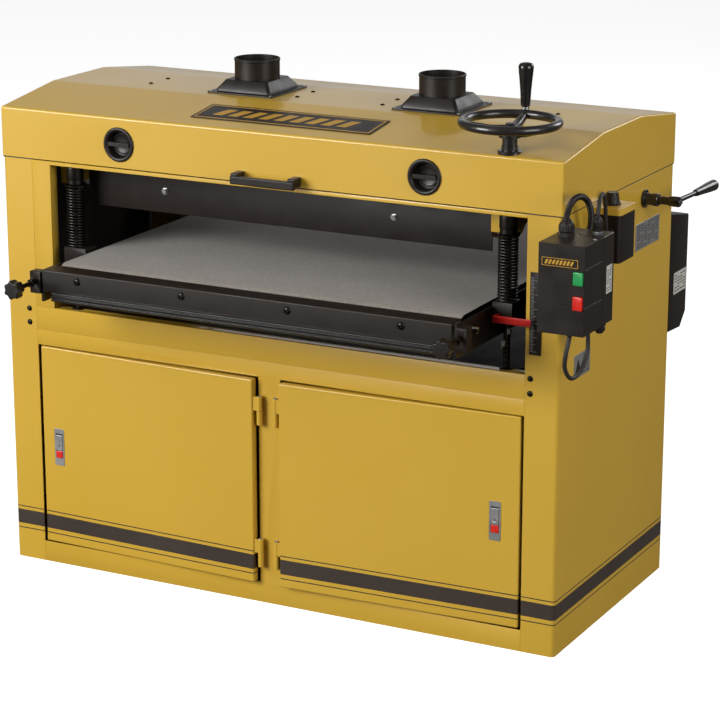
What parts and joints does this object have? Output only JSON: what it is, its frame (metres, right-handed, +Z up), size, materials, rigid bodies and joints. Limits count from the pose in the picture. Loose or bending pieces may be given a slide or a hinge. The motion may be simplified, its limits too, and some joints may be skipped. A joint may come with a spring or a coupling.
{
  "type": "drum sander",
  "caption": "Floor-standing wide drum sander: steel cabinet with doors, hinged hood with dust ports, lifting conveyor table, sanding drums, handwheel and side controls.",
  "frame": {"origin": "on the floor, under the centre of the cabinet's footprint", "axes": "+X to the operator's right along the cabinet's length, +Y from the infeed to the outfeed side, +Z up"},
  "size_m": [1.4645, 1.048, 1.2328],
  "materials": {
    "yellow_paint": "gloss powder coat",
    "black_paint": "satin black paint",
    "black_plastic": "moulded, satin",
    "steel": "turned steel, lightly oiled",
    "belt_cloth": "grit-faced conveyor belt",
    "rubber": "black rubber",
    "silver": "satin zinc die casting",
    "red_plastic": "red moulded plastic",
    "red_paint": "red enamel",
    "green_plastic": "green moulded plastic",
    "drum": "aluminium drum wrapped in abrasive cloth",
    "cast_black": "black enamel on iron"
  },
  "bodies": {
    "cabinet": {"floor_pan": "yellow_paint", "left_side_panel": "yellow_paint", "right_side_panel": "yellow_paint", "front_door_frame": "yellow_paint", "front_apron": "yellow_paint", "opening_surround": "yellow_paint", "rear_panel": "yellow_paint", "head_beam_left": "yellow_paint", "head_beam_right": "yellow_paint", "speed_box_lid": "yellow_paint", "machine_deck": "black_paint", "infeed_guard": "black_paint", "contactor_box": "black_paint", "thickness_scale": "black_paint", "speed_box": "black_paint", "lever_flange": "black_paint", "switch_box": "black_plastic", "switch_cover": "black_plastic", "drive_motor": "cast_black", "lift_spring_left": "steel", "lift_spring_right": "steel", "drive_belt": "rubber", "motor_conduit": "rubber", "speed_cable": "rubber", "control_cable": "rubber"},
    "table": {"table_bed": "steel", "conveyor_belt": "belt_cloth", "table_side_left": "black_paint", "table_side_right": "black_paint", "front_guard": "black_paint", "thickness_pointer": "red_paint"},
    "hood": {"hood": "yellow_paint", "dust_port_left": "black_plastic", "dust_port_right": "black_plastic", "hood_handle": "black_plastic"},
    "hood_latch_left": {"hood_latch_left": "black_plastic"},
    "hood_latch_right": {"hood_latch_right": "black_plastic"},
    "handwheel": {"handwheel": "cast_black"},
    "wheel_grip": {"wheel_grip": "black_plastic"},
    "conveyor_roller_front": {"conveyor_roller_front": "steel"},
    "conveyor_roller_rear": {"conveyor_roller_rear": "steel"},
    "tension_knob_left": {"tension_knob_left": "black_plastic"},
    "tension_knob_right": {"tension_knob_right": "black_plastic"},
    "lift_screw_front_left": {"lift_screw_front_left": "steel"},
    "lift_screw_front_right": {"lift_screw_front_right": "steel"},
    "lift_screw_rear_left": {"lift_screw_rear_left": "steel"},
    "lift_screw_rear_right": {"lift_screw_rear_right": "steel"},
    "sanding_drum_front": {"sanding_drum_front": "drum"},
    "sanding_drum_rear": {"sanding_drum_rear": "drum"},
    "motor_pulley": {"motor_pulley": "steel"},
    "door_left": {"door_left": "yellow_paint"},
    "door_right": {"door_right": "yellow_paint"},
    "door_latch_lever_left": {"door_latch_lever_left": "silver"},
    "door_latch_lever_right": {"door_latch_lever_right": "silver"},
    "door_latch_button_left": {"door_latch_button_left": "red_plastic"},
    "door_latch_button_right": {"door_latch_button_right": "red_plastic"},
    "start_button": {"start_button": "green_plastic"},
    "stop_button": {"stop_button": "red_plastic"},
    "speed_knob": {"speed_knob": "black_plastic"},
    "drum_lever": {"drum_lever": "black_plastic"}
  },
  "joints": [
    {"name": "hood_hinge", "type": "hinge", "parent": "cabinet", "child": "hood", "pos_m": [0, 0.313, 0.9485], "axis": [-1, 0, 0], "range_deg": [0, 65]},
    {"name": "hood_latch_left_turn", "type": "hinge", "parent": "hood", "child": "hood_latch_left", "pos_m": [-0.371, -0.3118, 1.0016], "axis": [0, -1, 0], "range_deg": [0, 90]},
    {"name": "hood_latch_right_turn", "type": "hinge", "parent": "hood", "child": "hood_latch_right", "pos_m": [0.371, -0.3118, 1.0016], "axis": [0, -1, 0], "range_deg": [0, 90]},
    {"name": "handwheel_turn", "type": "hinge", "parent": "hood", "child": "handwheel", "pos_m": [0.549, -0.283, 1.1], "axis": [0, 0, -1], "range_deg": [-5310, 8190]},
    {"name": "wheel_grip_spin", "type": "hinge", "parent": "handwheel", "child": "wheel_grip", "pos_m": [0.53881, -0.18603, 1.18], "axis": [0, 0, 1], "continuous": true},
    {"name": "table_lift", "type": "slide", "parent": "cabinet", "child": "table", "axis": [0, 0, 1], "range_m": [-0.059, 0.091], "deforming": ["lift_spring_left", "lift_spring_right"]},
    {"name": "lift_screw_front_left_turn", "type": "hinge", "parent": "cabinet", "child": "lift_screw_front_left", "pos_m": [-0.507, -0.283, 0.8], "axis": [0, 0, -1], "continuous": true},
    {"name": "lift_screw_front_right_turn", "type": "hinge", "parent": "cabinet", "child": "lift_screw_front_right", "pos_m": [0.549, -0.283, 0.8], "axis": [0, 0, -1], "continuous": true},
    {"name": "lift_screw_rear_left_turn", "type": "hinge", "parent": "cabinet", "child": "lift_screw_rear_left", "pos_m": [-0.507, 0.283, 0.8], "axis": [0, 0, -1], "continuous": true},
    {"name": "lift_screw_rear_right_turn", "type": "hinge", "parent": "cabinet", "child": "lift_screw_rear_right", "pos_m": [0.549, 0.283, 0.8], "axis": [0, 0, -1], "continuous": true},
    {"name": "roller_rear_spin", "type": "hinge", "parent": "table", "child": "conveyor_roller_rear", "pos_m": [0.027, 0.405, 0.72], "axis": [1, 0, 0], "continuous": true},
    {"name": "roller_front_spin", "type": "hinge", "parent": "table", "child": "conveyor_roller_front", "pos_m": [0.027, -0.405, 0.72], "axis": [1, 0, 0], "continuous": true},
    {"name": "tension_knob_left_turn", "type": "hinge", "parent": "table", "child": "tension_knob_left", "pos_m": [-0.483, -0.565, 0.72], "axis": [0, -1, 0], "continuous": true},
    {"name": "tension_knob_right_turn", "type": "hinge", "parent": "table", "child": "tension_knob_right", "pos_m": [0.537, -0.565, 0.72], "axis": [0, -1, 0], "continuous": true},
    {"name": "drum_front_spin", "type": "hinge", "parent": "cabinet", "child": "sanding_drum_front", "pos_m": [0, -0.112, 0.9065], "axis": [1, 0, 0], "continuous": true},
    {"name": "drum_rear_spin", "type": "hinge", "parent": "cabinet", "child": "sanding_drum_rear", "pos_m": [0, 0.112, 0.9065], "axis": [1, 0, 0], "continuous": true},
    {"name": "motor_spin", "type": "hinge", "parent": "cabinet", "child": "motor_pulley", "pos_m": [-0.58, 0, 0.25], "axis": [1, 0, 0], "continuous": true},
    {"name": "door_left_hinge", "type": "hinge", "parent": "cabinet", "child": "door_left", "pos_m": [-0.02, -0.321, 0.285], "axis": [0, 0, 1], "range_deg": [0, 90]},
    {"name": "door_right_hinge", "type": "hinge", "parent": "cabinet", "child": "door_right", "pos_m": [0.02, -0.321, 0.285], "axis": [0, 0, -1], "range_deg": [0, 90]},
    {"name": "door_latch_lever_left_swing", "type": "hinge", "parent": "door_left", "child": "door_latch_lever_left", "pos_m": [-0.552, -0.30779, 0.309], "axis": [-1, 0, 0], "range_deg": [0, 30]},
    {"name": "door_latch_button_left_press", "type": "slide", "parent": "door_left", "child": "door_latch_button_left", "axis": [0, 1, 0], "range_m": [0, 0.003], "stiffness_N_per_m": 300},
    {"name": "door_latch_lever_right_swing", "type": "hinge", "parent": "door_right", "child": "door_latch_lever_right", "pos_m": [0.5415, -0.30814, 0.309], "axis": [-1, 0, 0], "range_deg": [0, 30]},
    {"name": "door_latch_button_right_press", "type": "slide", "parent": "door_right", "child": "door_latch_button_right", "axis": [0, 1, 0], "range_m": [0, 0.003], "stiffness_N_per_m": 300},
    {"name": "start_press", "type": "slide", "parent": "cabinet", "child": "start_button", "axis": [0, 1, 0], "range_m": [0, 0.003], "stiffness_N_per_m": 400},
    {"name": "stop_press", "type": "slide", "parent": "cabinet", "child": "stop_button", "axis": [0, 1, 0], "range_m": [0, 0.003], "stiffness_N_per_m": 400},
    {"name": "speed_knob_turn", "type": "hinge", "parent": "cabinet", "child": "speed_knob", "pos_m": [0.714, -0.134, 0.95], "axis": [0, 0, -1], "range_deg": [0, 270]},
    {"name": "drum_lever_swing", "type": "hinge", "parent": "cabinet", "child": "drum_lever", "pos_m": [0.72, 0.134, 0.902], "axis": [1, 0, 0], "range_deg": [-25, 40]}
  ],
  "couplings": [
    {"joint": "table_lift", "follows": "handwheel_turn", "m_per_rad": 0.00063662},
    {"joint": "lift_screw_front_left_turn", "follows": "handwheel_turn", "ratio": 1},
    {"joint": "lift_screw_front_right_turn", "follows": "handwheel_turn", "ratio": 1},
    {"joint": "lift_screw_rear_left_turn", "follows": "handwheel_turn", "ratio": 1},
    {"joint": "lift_screw_rear_right_turn", "follows": "handwheel_turn", "ratio": 1},
    {"joint": "roller_front_spin", "follows": "roller_rear_spin", "ratio": 1},
    {"joint": "drum_rear_spin", "follows": "drum_front_spin", "ratio": 1},
    {"joint": "motor_spin", "follows": "drum_front_spin", "ratio": 0.83333}
  ]
}
